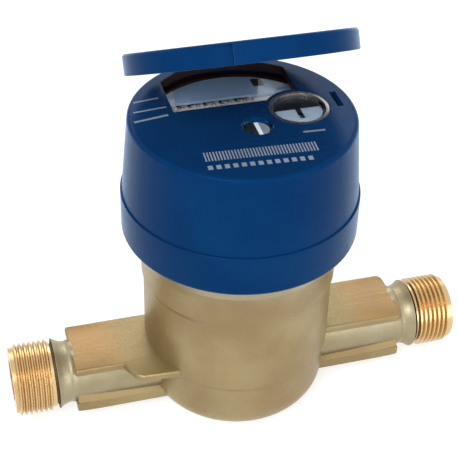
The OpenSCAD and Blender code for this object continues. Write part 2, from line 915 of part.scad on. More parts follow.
// Shallow recess for a thumb in the lid's rim
module thumb_recess() {
    reach = lid_r + 4;
    intersection() {
        ring(reach, lid_r - thumb_depth, lid_z - 1, lid_t - thumb_lip + 1);
        translate([0, 0, lid_z - 2])
            rotate([0, 0, -thumb_dir])
                linear_extrude(lid_t + 4)
                    polygon([[0, 0], [-reach * sin(thumb_half) * 1.2, -reach * cos(thumb_half) * 1.2],
                             [reach * sin(thumb_half) * 1.2, -reach * cos(thumb_half) * 1.2]]);
    }
}

// Lid turned open about its hinge
module lid() {
    color(blue)
        translate([0, hinge_y, hinge_z])
            rotate([-lid_open, 0, 0])
                translate([0, -hinge_y, -hinge_z])
                    lid_shut();
}

// Pin through the ears and the knuckle
module hinge_pin() {
    color(steel)
        along_x(-lug_out, hinge_y, hinge_z)
            cylinder(r = hinge_pin_r, h = 2 * lug_out, $fn = 48);
}

body();
strainer();
chamber_gasket();
chamber();
division_plate();
piston();
chamber_cover();
spindle();
drive_magnet();
plate_seal();
pressure_plate();
retaining_ring();
skirt();
can();
follower();
follower_magnet();
flow_wheel();
wheel_1();
worm();
wheel_2();
target_disc();
movement_frame();
drum_shaft();
drum_1();
drum_2();
drum_3();
drum_4();
drum_5();
pinion_shaft();
pinion_1();
pinion_2();
pinion_3();
pinion_4();
dial_plate();
glass();
eye_bezel();
housing();
lid();
hinge_pin();
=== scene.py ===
# %% [markdown]
# # A cold-water meter with its lid ajar
# The meter is a brass casting with two threaded ends, a blue plastic housing above it and a blue lid on
# a hinge. The CAD frame already has every solid in its place. This lesson adds what a solid model leaves
# out: the end threads, softened edges, printed marks, and the look of brass, plastic and glass.
# Lengths are written in millimetres and multiplied by MM, because Blender counts in metres here.

# %% Load the frame
import json
from math import atan2, cos, degrees, hypot, pi, radians, sin

import bmesh
import bpy
from mathutils import Matrix, Vector


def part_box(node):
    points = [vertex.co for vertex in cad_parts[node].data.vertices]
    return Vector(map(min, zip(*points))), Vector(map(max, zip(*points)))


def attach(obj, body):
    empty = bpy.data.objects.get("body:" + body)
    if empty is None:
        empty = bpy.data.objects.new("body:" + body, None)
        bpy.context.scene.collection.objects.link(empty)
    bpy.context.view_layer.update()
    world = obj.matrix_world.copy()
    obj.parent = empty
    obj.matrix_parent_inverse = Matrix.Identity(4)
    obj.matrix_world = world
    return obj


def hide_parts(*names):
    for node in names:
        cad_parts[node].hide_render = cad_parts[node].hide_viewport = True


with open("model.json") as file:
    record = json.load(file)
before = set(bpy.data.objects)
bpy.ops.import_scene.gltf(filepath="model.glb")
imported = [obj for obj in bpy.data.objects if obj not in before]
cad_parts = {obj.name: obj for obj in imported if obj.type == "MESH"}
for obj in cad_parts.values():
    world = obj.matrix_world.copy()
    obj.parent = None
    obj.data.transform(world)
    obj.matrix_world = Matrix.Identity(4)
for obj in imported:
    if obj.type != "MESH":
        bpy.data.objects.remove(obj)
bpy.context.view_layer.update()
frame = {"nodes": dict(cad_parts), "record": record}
scene = bpy.context.scene
scene.view_settings.view_transform = "Standard"
MM = 0.001
print("nodes loaded:", len(frame["nodes"]))

# %% [markdown]
# ## Camera
# The photograph was taken from close by, so the left pipe end looks larger than the right one. A camera
# is three things: a place, a direction and a lens. The direction is written as an azimuth, an elevation
# and a small roll, and the three axes of the camera follow from them by cross products. That is easier to
# read than a rotation matrix, and each angle can be changed by itself.

# %% Place the camera
CAMERA_PLACE = Vector((-102.5, -330.2, 337.2)) * MM
AZIMUTH = radians(16.67)
ELEVATION = radians(37.66)
ROLL = radians(1.69)
LENS = 96.57

forward = Vector((sin(AZIMUTH) * cos(ELEVATION), cos(AZIMUTH) * cos(ELEVATION), -sin(ELEVATION)))
level = forward.cross(Vector((0, 0, 1))).normalized()
upright = level.cross(forward)
right = cos(ROLL) * level + sin(ROLL) * upright
up = cos(ROLL) * upright - sin(ROLL) * level
camera_data = bpy.data.cameras.new("photo_camera")
camera_data.sensor_width = 36
camera_data.lens = LENS
camera_data.clip_start = 0.01
camera = bpy.data.objects.new("photo_camera", camera_data)
turned = Matrix((right, up, -forward)).transposed().to_4x4()
camera.matrix_world = Matrix.Translation(CAMERA_PLACE) @ turned
scene.collection.objects.link(camera)
scene.camera = camera
print("camera to axis, mm:", round(hypot(CAMERA_PLACE.x, CAMERA_PLACE.y) / MM))

# %% [markdown]
# ## Node groups
# Several finishes share the same small effects. A group builds an effect once, and each material sets
# its own values, so a change to the effect reaches every finish. The groups read Object coordinates, which
# are metres here, so a Mapping node multiplies them to millimetres first. That way a scale of 2 means two
# blotches to the millimetre on every piece, however large it is.

# %% Helpers for node groups
def start_group(name, inputs, outputs):
    group = bpy.data.node_groups.new(name, "ShaderNodeTree")
    for label, value in inputs:
        socket = group.interface.new_socket(label, in_out="INPUT", socket_type="NodeSocketFloat")
        socket.default_value = value
    for label in outputs:
        group.interface.new_socket(label, in_out="OUTPUT", socket_type="NodeSocketFloat")
    return group, group.nodes.new("NodeGroupInput"), group.nodes.new("NodeGroupOutput")


def set_inputs(node, values):
    for label, value in values.items():
        node.inputs[label].default_value = value


def millimetres(tree, stretch=(1, 1, 1), middle=(0, 0, 0)):
    place = tree.nodes.new("ShaderNodeTexCoord")
    mapping = tree.nodes.new("ShaderNodeMapping")
    set_inputs(mapping, {"Scale": [1000 * s for s in stretch], "Location": [-v / MM for v in middle]})
    tree.links.new(place.outputs["Object"], mapping.inputs["Vector"])
    return mapping.outputs["Vector"]


print("node groups so far:", len(bpy.data.node_groups))

# %% [markdown]
# ## Grain and turning lines
# Cast metal and moulded plastic both have a fine grain and slow blotches, only at other scales, so "grain"
# gives both: a height, a tone and a blotchy mask. "Turning lines" gives the fine parallel lines that a lathe
# leaves, by stretching noise across one axis. A picture of scratches would do as well, but noise has no
# seams, and the pieces need no unwrapping for it.

# %% Build the two groups
NOISE_ROUGHNESS = 0.55


def noise(tree, vector, scale, detail):
    texture = tree.nodes.new("ShaderNodeTexNoise")
    set_inputs(texture, {"Detail": detail, "Roughness": NOISE_ROUGHNESS})
    tree.links.new(vector, texture.inputs["Vector"])
    tree.links.new(scale, texture.inputs["Scale"])
    return texture.outputs["Fac"]


def spread(tree, value, low, high):
    ramp = tree.nodes.new("ShaderNodeMapRange")
    ramp.interpolation_type = "SMOOTHSTEP"
    set_inputs(ramp, {"From Min": low, "From Max": high})
    tree.links.new(value, ramp.inputs["Value"])
    return ramp.outputs["Result"]


grain_group, grain_in, grain_out = start_group(
    "grain", [("Fine", 1.5), ("Slow", 0.05)], ["Height", "Tone", "Blotch"])
vector = millimetres(grain_group)
fine = noise(grain_group, vector, grain_in.outputs["Fine"], detail=3)
slow = noise(grain_group, vector, grain_in.outputs["Slow"], detail=4)
grain_group.links.new(fine, grain_out.inputs["Height"])
grain_group.links.new(spread(grain_group, fine, 0.3, 0.7), grain_out.inputs["Tone"])
grain_group.links.new(spread(grain_group, slow, 0.35, 0.65), grain_out.inputs["Blotch"])

lines_group, lines_in, lines_out = start_group("turning lines", [("Across", 3.0)], ["Height"])
vector = millimetres(lines_group, stretch=(1, 0.02, 0.02))
lines = noise(lines_group, vector, lines_in.outputs["Across"], detail=2)
lines_group.links.new(lines, lines_out.inputs["Height"])
print("groups:", [g.name for g in bpy.data.node_groups])

# %% [markdown]
# ## Colours
# Colours are written as they look on a screen, from 0 to 255, because they can be compared with a photograph
# in that form. A shader needs linear values, so one function turns the first into the second. Two more
# helpers mix colours by a mask and bring a mask into a range.

# %% Helpers for colours
def linear(red, green, blue):
    def one(value):
        value /= 255
        return value / 12.92 if value <= 0.04045 else ((value + 0.055) / 1.055) ** 2.4
    return one(red), one(green), one(blue), 1.0


def mix_colour(tree, factor, first, second):
    mix = tree.nodes.new("ShaderNodeMix")
    mix.data_type = "RGBA"
    for socket, value in ((mix.inputs[0], factor), (mix.inputs[6], first), (mix.inputs[7], second)):
        if isinstance(value, tuple):
            socket.default_value = value
        else:
            tree.links.new(value, socket)
    return mix.outputs[2]


def between(tree, value, low, high):
    ramp = tree.nodes.new("ShaderNodeMapRange")
    set_inputs(ramp, {"To Min": low, "To Max": high})
    tree.links.new(value, ramp.inputs["Value"])
    return ramp.outputs["Result"]


print("middle grey, linear:", round(linear(128, 128, 128)[0], 3))

# %% [markdown]
# ## Finishes
# One function makes most of the finishes. A finish has two colours that the blotchy mask mixes, a range of
# roughness that the fine tone moves through, and a bump from the grain or from turning lines. So no surface
# has one flat colour, and each finish is still only one call. The first is the brass as it comes from the
# mould.

# %% Make a finish
COAT_ROUGHNESS = 0.3


def place_group(tree, group, **values):
    node = tree.nodes.new("ShaderNodeGroup")
    node.node_tree = group
    set_inputs(node, values)
    return node


def finish(name, first, second, rough, metal=0.0, specular=0.5, fine=1.5, slow=0.05,
           bump=0.1, depth=0.05, coat=0.0, lines=0.0, tint=(1, 1, 1)):
    material = bpy.data.materials.new(name)
    material.use_nodes = True
    tree = material.node_tree
    shader = tree.nodes["Principled BSDF"]
    set_inputs(shader, {"Metallic": metal, "Specular IOR Level": specular, "Specular Tint": (*tint, 1),
                        "Coat Weight": coat, "Coat Roughness": COAT_ROUGHNESS})
    grain = place_group(tree, grain_group, Fine=fine, Slow=slow)
    colour = mix_colour(tree, grain.outputs["Blotch"], linear(*first), linear(*second))
    tree.links.new(colour, shader.inputs["Base Color"])
    tree.links.new(between(tree, grain.outputs["Tone"], *rough), shader.inputs["Roughness"])
    height = grain.outputs["Height"]
    if lines:
        height = place_group(tree, lines_group, Across=lines).outputs["Height"]
    raised = tree.nodes.new("ShaderNodeBump")
    set_inputs(raised, {"Strength": bump, "Distance": depth * MM})
    tree.links.new(height, raised.inputs["Height"])
    tree.links.new(raised.outputs["Normal"], shader.inputs["Normal"])
    return material


cast_brass = finish("cast_brass", (162, 144, 102), (147, 125, 84), (0.4, 0.56), metal=0.75,
                    fine=1.3, slow=0.035, bump=0.3, depth=0.2, coat=0.3)
print("nodes in", cast_brass.name + ":", len(cast_brass.node_tree.nodes))

# %% [markdown]
# ## Brass in five states
# One lump of brass doesn't have one colour. As cast it is dull and a little green. The pipe is paler, and
# the lip has a pale band of painted highlight. The pads are warmer, the ends are freshly turned and bright,
# and the groove behind the thread is painted dark as painted shade. So there are five finishes of one metal.
# The duller they are, the less metallic, and on most of them a thin coat stands for the film of oxide and oil
# that brass has.

# %% Mix the other brasses
# the pipe's paler metal, and on the lip a painted highlight
pale_and_highlight_brass = finish("pale_and_highlight_brass", (166, 156, 128), (154, 140, 106), (0.38, 0.52), metal=0.75,
                    fine=1.3, slow=0.05, bump=0.25, depth=0.2, coat=0.3)
warm_brass = finish("warm_brass", (160, 126, 76), (150, 120, 76), (0.42, 0.56), metal=0.75,
                    fine=1.3, slow=0.06, bump=0.25, depth=0.2, coat=0.3)
turned_brass = finish("turned_brass", (214, 185, 136), (203, 168, 114), (0.22, 0.34), metal=0.95,
                      fine=1.2, slow=0.06, bump=0.2, depth=0.05, coat=0.45, lines=3.0)
# painted shade: a dark brass for the groove behind the thread, where shade falls
groove_shade_brass = finish("groove_shade_brass", (112, 88, 52), (98, 74, 42), (0.45, 0.6), metal=0.6, bump=0.15)
BRASSES = [cast_brass, turned_brass, pale_and_highlight_brass, warm_brass, groove_shade_brass]
print("brasses:", [material.name for material in BRASSES])

# %% [markdown]
# ## Blue plastic
# The mouldings are a deep blue with a soft gloss. Plain white reflections would make their sides look grey,
# so the specular level is low and tinted, and a blue sheen lifts the sides that are seen at a flat angle.

# %% Mix the blue
blue_plastic = finish("blue_plastic", (8, 56, 106), (6, 50, 99), (0.22, 0.3), specular=0.06,
                      fine=0.4, slow=0.03, bump=0.015, depth=0.03, tint=(0.2, 0.5, 1))
BLUE_SHEEN = {"Sheen Weight": 0.6, "Sheen Roughness": 0.3, "Sheen Tint": (0.25, 0.6, 1, 1)}
set_inputs(blue_plastic.node_tree.nodes["Principled BSDF"], BLUE_SHEEN)
print("blue:", blue_plastic.name, BLUE_SHEEN)

# %% [markdown]
# ## The other finishes
# The works of the meter are moulded plastics, turned steel, rubber, magnets and small brass wheels. Little of
# them shows, but a lid can be opened and a drum can turn, so each still has its own colours and grain.

# %% Mix the rest
dark_plastic = finish("dark_plastic", (52, 54, 58), (44, 46, 50), (0.45, 0.6), fine=2, bump=0.1)
white_plastic = finish("white_plastic", (226, 226, 220), (214, 213, 204), (0.38, 0.5), fine=2, bump=0.05)
frame_plastic = finish("frame_plastic", (200, 196, 184), (188, 184, 170), (0.45, 0.6), fine=2, bump=0.05)
steel = finish("turned_steel", (168, 172, 178), (150, 154, 160), (0.22, 0.36), metal=1.0,
               bump=0.15, lines=3.0)
rubber = finish("black_rubber", (30, 30, 32), (24, 24, 26), (0.6, 0.75), fine=3, bump=0.15)
magnet = finish("dark_magnet", (44, 44, 46), (36, 36, 40), (0.4, 0.6), metal=0.4, fine=2, bump=0.15)
copper = finish("brown_copper", (58, 38, 36), (44, 28, 28), (0.4, 0.55), metal=0.3, specular=0.2, bump=0.15)
pale_metal = finish("pale_metal", (196, 194, 196), (182, 178, 178), (0.25, 0.4), metal=0.9, bump=0.1)
yellow_brass = finish("yellow_brass", (214, 182, 104), (196, 164, 92), (0.2, 0.35), metal=1.0,
                      bump=0.1, lines=3.0)
dial_grey = finish("dial_grey", (146, 174, 208), (138, 166, 200), (0.4, 0.55), specular=0.1,
                   fine=2.5, bump=0.05)
white_print = finish("white_print", (158, 168, 184), (142, 152, 170), (0.5, 0.65), fine=3, bump=0.05)
black_print = finish("black_print", (22, 24, 26), (16, 18, 20), (0.5, 0.65), fine=3, bump=0.05)
print("materials in the file:", len(bpy.data.materials))

# %% [markdown]
# ## Clear glass
# Glass bends light, so Cycles would leave the dial below it in the dark: a shadow ray stops at a refracting
# surface. Mixing in a Transparent shader for shadow rays alone lets the light through. The index is lower
# than that of real glass, which keeps the reflections in the window as faint as they are in the photograph.

# %% Make the glass
GLASS_INDEX = 1.16


def clear_glass():
    material = bpy.data.materials.new("clear_glass")
    material.use_nodes = True
    tree = material.node_tree
    shader = tree.nodes["Principled BSDF"]
    set_inputs(shader, {"Base Color": (1, 1, 1, 1), "Transmission Weight": 1.0, "IOR": GLASS_INDEX})
    grain = place_group(tree, grain_group, Fine=0.8, Slow=0.1)
    tree.links.new(between(tree, grain.outputs["Tone"], 0.01, 0.04), shader.inputs["Roughness"])
    rays = tree.nodes.new("ShaderNodeLightPath")
    open_way = tree.nodes.new("ShaderNodeBsdfTransparent")
    choice = tree.nodes.new("ShaderNodeMixShader")
    tree.links.new(rays.outputs["Is Shadow Ray"], choice.inputs[0])
    tree.links.new(shader.outputs["BSDF"], choice.inputs[1])
    tree.links.new(open_way.outputs["BSDF"], choice.inputs[2])
    tree.links.new(choice.outputs["Shader"], tree.nodes["Material Output"].inputs["Surface"])
    return material


glass = clear_glass()
print("glass:", glass.name)

# %% [markdown]
# ## Masks
# Some colours change across one piece. A picture laid on it could show that, but a mask on Object coordinates
# needs no picture and turns with its piece. A Mapping node moves the zero to a middle, such as that of a
# disc, and Math nodes then compare the distance along X or Y with a limit in millimetres.

# %% Helpers for masks
def along(tree, middle):
    parts = tree.nodes.new("ShaderNodeSeparateXYZ")
    tree.links.new(millimetres(tree, middle=middle), parts.inputs["Vector"])
    return parts.outputs["X"], parts.outputs["Y"]


def work_out(tree, operation, first, second=0.0):
    node = tree.nodes.new("ShaderNodeMath")
    node.operation = operation
    for socket, value in zip(node.inputs, (first, second)):
        if isinstance(value, (int, float)):
            socket.default_value = value
        else:
            tree.links.new(value, socket)
    return node.outputs["Value"]


def middle_of(node):
    low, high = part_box(node)
    return (low + high) / 2


eye_middle = middle_of("target_disc")
print("eye middle, mm:", [round(v / MM, 1) for v in eye_middle])

# %% [markdown]
# ## The two discs
# The disc under the round eye is half bright and half dark with a notch, so that a reader on the face can
# count its turns. The small wheel has a bright bar, so that the eye sees it turn. The limits below are
# millimetres from the middle of each disc.

# %% Make the discs' finishes
def half_silver(middle):
    silver, dark = (158, 178, 198), (20, 26, 28)
    material = finish("half_silver", silver, silver, (0.4, 0.45), bump=0.01)
    tree = material.node_tree
    x, y = along(tree, middle)
    behind = work_out(tree, "GREATER_THAN", y, 1.3)
    narrow = work_out(tree, "LESS_THAN", work_out(tree, "ABSOLUTE", x), 0.95)
    notch = work_out(tree, "MULTIPLY", narrow, work_out(tree, "GREATER_THAN", y, -4.5))
    colour = mix_colour(tree, work_out(tree, "MAXIMUM", behind, notch), linear(*silver), linear(*dark))
    tree.links.new(colour, tree.nodes["Principled BSDF"].inputs["Base Color"])
    return material


def barred_white(middle):
    dark, bright, grey = (26, 34, 36), (222, 230, 236), (128, 138, 150)
    material = finish("barred_white", bright, bright, (0.35, 0.45), bump=0.02)
    tree = material.node_tree
    x, _ = along(tree, middle)
    left = mix_colour(tree, work_out(tree, "GREATER_THAN", x, -0.2), linear(*dark), linear(*bright))
    colour = mix_colour(tree, work_out(tree, "GREATER_THAN", x, 1.2), left, linear(*grey))
    tree.links.new(colour, tree.nodes["Principled BSDF"].inputs["Base Color"])
    return material


silver = half_silver(eye_middle)
flow_white = barred_white(middle_of("flow_wheel"))
print("discs:", silver.name, flow_white.name)

# %% [markdown]
# ## Warm pads
# The pads of the casting are warm in colour towards the ends and dull near the bowl. The change is slow, so
# the mask is a smooth ramp along the pipe and no hard limit. It is put between the finish and its colour, so
# the blotches stay.

# %% Warm the pads
def warm_outside(material, dull, dull_to, warm_from):
    tree = material.node_tree
    colour = tree.nodes["Principled BSDF"].inputs["Base Color"]
    warm = colour.links[0].from_socket
    x, _ = along(tree, (0, 0, 0))
    outside = spread(tree, work_out(tree, "ABSOLUTE", x), dull_to, warm_from)
    tree.links.new(mix_colour(tree, outside, linear(*dull), warm), colour)


warm_outside(warm_brass, dull=(146, 128, 86), dull_to=40, warm_from=52)
print("nodes in", warm_brass.name + ":", len(warm_brass.node_tree.nodes))

# %% [markdown]
# ## Give every solid its finish
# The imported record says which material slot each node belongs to, so one table from slot to finish dresses
# the whole frame. The pieces that are made anew below take theirs as they are made.

# %% Dress the CAD nodes
SLOT_FINISH = {
    "brass": cast_brass, "blue_plastic": blue_plastic, "dark_plastic": dark_plastic,
    "white_plastic": white_plastic, "frame_plastic": frame_plastic, "steel": steel, "rubber": rubber,
    "magnet": magnet, "copper": copper, "yellow_brass": yellow_brass, "silver": silver,
    "dial": dial_grey, "glass": glass}
for row in frame["record"]["subparts"]:
    mesh = frame["nodes"][row["node"]].data
    mesh.materials.clear()
    mesh.materials.append(SLOT_FINISH[row["material_slot"]])
for node, material in (("flow_wheel", flow_white), ("eye_bezel", pale_metal)):
    frame["nodes"][node].data.materials[0] = material

# %% [markdown]
# ## Softened copies
# The edges of a CAD solid are perfectly sharp, and real edges catch the light. For the pieces that show
# most, a copy of the node is merged, its flat triangles are dissolved into whole faces, and chosen edges
# are bevelled. The copy then replaces the node, which stays in the frame for collision.

# %% Helpers for copies
MERGE = 0.002 * MM


def merged_copy(node):
    bm = bmesh.new()
    bm.from_mesh(frame["nodes"][node].data)
    bmesh.ops.remove_doubles(bm, verts=bm.verts, dist=MERGE)
    bmesh.ops.dissolve_limit(bm, angle_limit=radians(0.3), verts=bm.verts, edges=bm.edges)
    return bm


def soften(bm, edges, width, segments):
    bmesh.ops.bevel(bm, geom=edges, offset=width * MM, offset_type="OFFSET", segments=segments,
                    profile=0.5, affect="EDGES", clamp_overlap=False, material=-1)


def sharp(bm, angle):
    return [e for e in bm.edges if len(e.link_faces) == 2 and e.calc_face_angle(0) > radians(angle)]


print("points of the body's node:", len(frame["nodes"]["body"].data.vertices))

# %% [markdown]
# ## New pieces
# Every piece made here ends in the same way: it becomes a mesh with its finishes, smooth but for its sharp
# edges, and it rides on a body of the frame. The stored normals of a node would
# no longer fit the new faces, so they are taken off. A Weighted Normal modifier then lets the large faces
# set the shading instead of the small bevels.

# %% Helper for new pieces
SAME_HEIGHT = 0.02 * MM


def make_piece(bm, name, body, materials, smooth=40, even=True, creases=()):
    mesh = bpy.data.meshes.new(name)
    bm.to_mesh(mesh)
    bm.free()
    if "custom_normal" in mesh.attributes:
        mesh.attributes.remove(mesh.attributes["custom_normal"])
    for material in materials:
        mesh.materials.append(material)
    mesh.polygons.foreach_set("use_smooth", [True] * len(mesh.polygons))
    mesh.set_sharp_from_angle(angle=radians(smooth))
    for edge in mesh.edges:
        heights = [mesh.vertices[v].co.z for v in edge.vertices]
        if any(all(abs(z - crease) < SAME_HEIGHT for z in heights) for crease in creases):
            edge.use_edge_sharp = True
    piece = bpy.data.objects.new(name, mesh)
    scene.collection.objects.link(piece)
    if even:
        piece.modifiers.new("even_normals", "WEIGHTED_NORMAL").keep_sharp = True
    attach(piece, body)
    print(name, "faces:", len(mesh.polygons))
    return piece


# %% [markdown]
# ## The brass casting: round edges
# The body is one casting, so its edges are round where the sand mould left them. A Bevel modifier would
# round every sharp edge alike. Here the edges are chosen by place instead: first the upright corner of the
# left pad by the bowl, then the rims of the pads, then those of the ribs below them, each with its own
# width. The pads and ribs are flat, so their edges are found by height.

# %% Round the pads and ribs
PIPE_Z = 16 * MM
PAD_TOP, PAD_UNDER, RIB_TOP, RIB_UNDER = (h * MM for h in (26.8, 23.8, 9.8, 6.0))
BOWL_R = 33 * MM
RIMS_FROM = 33.6 * MM
ARMS_FROM = 36 * MM
CLOSE = 0.01 * MM


def from_axis(point):
    return hypot(point.x, point.y)


def pipe_radius(point):
    return hypot(point.y, point.z - PIPE_Z)


def on_pad_corner(edge):
    low, high = sorted((v.co for v in edge.verts), key=lambda point: point.z)
    upright = hypot(high.x - low.x, high.y - low.y) < CLOSE
    tall = abs(low.z - PAD_UNDER) < 2 * CLOSE and abs(high.z - PAD_TOP) < 2 * CLOSE
    return upright and tall and from_axis(low) > ARMS_FROM


def on_rim(edge, *heights):
    outside = all(from_axis(v.co) > RIMS_FROM for v in edge.verts)
    return outside and any(all(abs(v.co.z - h) < CLOSE for v in edge.verts) for h in heights)


bm = merged_copy("body")
corners = [e for e in sharp(bm, 25) if e.is_convex and on_pad_corner(e)]
soften(bm, corners, width=2.2, segments=4)
pad_rims = [e for e in sharp(bm, 60) if e.is_convex and on_rim(e, PAD_TOP, PAD_UNDER)]
soften(bm, pad_rims, width=0.9, segments=3)
rib_rims = [e for e in sharp(bm, 60) if e.is_convex and on_rim(e, RIB_TOP, RIB_UNDER)]
soften(bm, rib_rims, width=0.6, segments=2)
print("rounded:", len(corners), "corner,", len(pad_rims), "pad edges,", len(rib_rims), "rib edges")

# %% [markdown]
# ## The brass casting: pads and fillets
# The pads are flat, and so is the crest of the pipe between them, so points that stand above the pads are
# brought down to their height. Where a rib meets the pipe, a mould leaves a fillet and no sharp inner
# corner. Drawing the rib's inner edge up along the pipe gives that slope with no new faces.

# %% Flatten the crest and slope the ribs
ARM_R = 11.3 * MM
PAD_END = 63.05 * MM
PIPE_CREST = 27.6 * MM
FILLET_BELOW = 2.8 * MM
FILLET_WIDER = 10.95 / 9.45
sloped = 0
for vert in bm.verts:
    if abs(vert.co.x) < PAD_END and from_axis(vert.co) > BOWL_R and vert.co.z < PIPE_CREST:
        vert.co.z = min(vert.co.z, PAD_TOP)
        if abs(vert.co.z - RIB_TOP) < 2 * CLOSE and abs(pipe_radius(vert.co) - ARM_R) < 0.1 * MM:
            vert.co.z = PIPE_Z - FILLET_BELOW
            vert.co.y *= FILLET_WIDER
            sloped += 1
print("rib points moved:", sloped)

# %% [markdown]
# ## The brass casting: the root of the thread
# The solid has a plain cylinder where the thread goes. The ridge of the thread is a piece of its own, so
# the cylinder's points are drawn in to the root between its turns. Moving points is enough here, because a
# turned end is round about the pipe's axis: only the distance from that axis changes.

# %% Draw in the ends
THREAD_FROM = 69 * MM
ROOT = 12.06 * MM


def set_radius(vert, wanted):
    share = wanted / pipe_radius(vert.co)
    vert.co.yz = (vert.co.y * share, PIPE_Z + (vert.co.z - PIPE_Z) * share)


def draw_in(vert, limit):
    if pipe_radius(vert.co) > limit:
        set_radius(vert, limit)


end_points = [v for v in bm.verts if abs(v.co.x) > THREAD_FROM - 0.05 * MM]
for vert in end_points:
    draw_in(vert, ROOT)
print("points on the ends:", len(end_points))

# %% [markdown]
# ## The brass casting: flare and groove
# Before the thread the pipe widens, and behind the thread lies the narrow groove in which it runs out. The
# solid has no points there that could be moved, so bisect_plane first cuts across the pipe at each place.
# The flare follows a square, which starts flat and grows steep.

# %% Flare the pipe and cut the grooves
CREST = 13.22 * MM
FLARE = [reach * MM for reach in (64.4, 65.6, 66.8, 67.8, 68.5, 68.95)]
FLARE_R = CREST - 0.1 * MM
GROOVE = [reach * MM for reach in (69.1, 69.25, 70.05, 70.2)]
GROOVE_R = 11.2 * MM


def cut(bm, place, across):
    bmesh.ops.bisect_plane(bm, geom=bm.verts[:] + bm.edges[:] + bm.faces[:], dist=1e-7,
                           plane_co=place, plane_no=across)


for side in (-1, 1):
    for reach in FLARE + GROOVE:
        cut(bm, (side * reach, 0, 0), (1, 0, 0))
for vert in bm.verts:
    reach = abs(vert.co.x)
    if FLARE[0] - CLOSE < reach < GROOVE[0] + CLOSE and pipe_radius(vert.co) > ARM_R - 0.4 * MM:
        share = (reach - FLARE[0]) / (FLARE[-1] - FLARE[0])
        set_radius(vert, ARM_R + (FLARE_R - ARM_R) * min(1, max(0, share)) ** 2)
bmesh.ops.remove_doubles(bm, verts=bm.verts, dist=MERGE)
for vert in bm.verts:
    if any(abs(abs(vert.co.x) - reach) < CLOSE for reach in GROOVE[1:3]):
        draw_in(vert, GROOVE_R)
print("points on the casting:", len(bm.verts))

# %% [markdown]
# ## The brass casting: colour by place
# Each face takes one of the five brasses. The choice is made from the middle of the face: how far along the
# pipe it lies, how far from the pipe's axis, and how high. The groove is painted dark as painted shade, and
# the lip's pale band is a painted highlight. One more cut under the lip gives that band a clean edge. The two
# steps of the bowl are kept as creases, because they are too slight to show otherwise.

# %% Colour the casting
LIP_HIGHLIGHT_FROM = 68.4 * MM
STEP_HEIGHTS = [h * MM for h in (22.6, 24.6, 53.4, 55.4)]
BORE_LIMIT = 8 * MM
WARM_TO = PAD_END - 0.15 * MM
TURNED_FROM = THREAD_FROM + 0.12 * MM
CAST, TURNED, PALE_AND_HIGHLIGHT, WARM, GROOVE_SHADE = range(len(BRASSES))


def brass_of(face):
    middle = face.calc_center_median()
    reach, radius, out = abs(middle.x), pipe_radius(middle), from_axis(middle)
    # painted shade: the groove is painted dark where shade falls in it
    if GROOVE[0] < reach < GROOVE[3] and radius > BORE_LIMIT:
        return GROOVE_SHADE
    if reach > TURNED_FROM:
        return TURNED
    if abs(middle.z - PAD_TOP) < 0.1 * MM and face.normal.z > 0.9 and reach < WARM_TO:
        return WARM
    tube_limit = CREST if reach > FLARE[0] else ARM_R + 1 * MM
    on_tube = out > ARMS_FROM and BORE_LIMIT < radius < tube_limit
    # painted highlight: the lip's pale band stands for the light on its round edge
    on_lip_highlight = out > BOWL_R and middle.z > LIP_HIGHLIGHT_FROM
    return PALE_AND_HIGHLIGHT if on_tube or on_lip_highlight else CAST


cut(bm, (0, 0, LIP_HIGHLIGHT_FROM), (0, 0, 1))
for face in bm.faces:
    face.material_index = brass_of(face)
casting = make_piece(bm, "body_casting", "meter", BRASSES, smooth=21, even=False,
                     creases=STEP_HEIGHTS)
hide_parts("body")

# %% [markdown]
# ## Threads on the pipe ends
# A screw thread is one ridge wound along the pipe. Its section, a flat-topped tooth, is drawn once and spun
# about the pipe with a small step along it, which is what the dvec of the spin operator does. A Screw
# modifier would do the same, but its ends would be blunt. The foot of the tooth is sunk into the root, so
# that no gap shows. The ridge rises in a quarter of a turn at each end, and the last turns shrink into the
# chamfer.

# %% Wind the threads
PIPE_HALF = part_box("body")[1].x
PITCH = 1.814 * MM
CHAMFER = 1.2 * MM
FIRST_TURN = THREAD_FROM + 1.9 * MM
TURNS = (PIPE_HALF - 0.95 * MM - FIRST_TURN) / PITCH
STEPS = round(TURNS * 72)
RISE_TURNS = 0.25
TOOTH_FOOT = ROOT - 0.25 * MM
TOOTH = [(-0.86, TOOTH_FOOT), (-0.24, CREST), (0.24, CREST), (0.86, TOOTH_FOOT)]


def wind_thread(name, side):
    bm = bmesh.new()
    verts = [bm.verts.new((side * (FIRST_TURN + aside * MM), 0, PIPE_Z - radius)) for aside, radius in TOOTH]
    edges = [bm.edges.new((verts[i], verts[i - 1])) for i in range(len(verts))]
    bmesh.ops.spin(bm, geom=verts + edges, cent=(0, 0, PIPE_Z), axis=(side, 0, 0),
                   dvec=(side * TURNS * PITCH / STEPS, 0, 0), angle=-TURNS * 2 * pi, steps=STEPS)
    bmesh.ops.holes_fill(bm, edges=bm.edges)
    for vert in bm.verts:
        part = atan2(-side * vert.co.y, PIPE_Z - vert.co.z) / (2 * pi) % 1
        turn = part + round((abs(vert.co.x) - FIRST_TURN) / PITCH - part)
        rise = min(1, max(0, turn / RISE_TURNS), max(0, (TURNS - turn) / RISE_TURNS))
        draw_in(vert, TOOTH_FOOT + (CREST - TOOTH_FOOT) * rise)
        draw_in(vert, CREST - max(0, abs(vert.co.x) - PIPE_HALF + CHAMFER))
    bmesh.ops.recalc_face_normals(bm, faces=bm.faces)
    make_piece(bm, name, "meter", [turned_brass])


wind_thread("inlet_thread", -1)
wind_thread("outlet_thread", 1)

# %% [markdown]
# ## The housing
# The housing is a moulding, so its outer edges get the small round that a mould gives them. Its lower edge is
# drawn down a little, because the seam to the ring below is a hairline on the real meter. The wall of the
# window is painted dark brown as painted shade: the brown of the copper can, darkened as the shade that falls
# in the deep window, so those faces take a second finish.

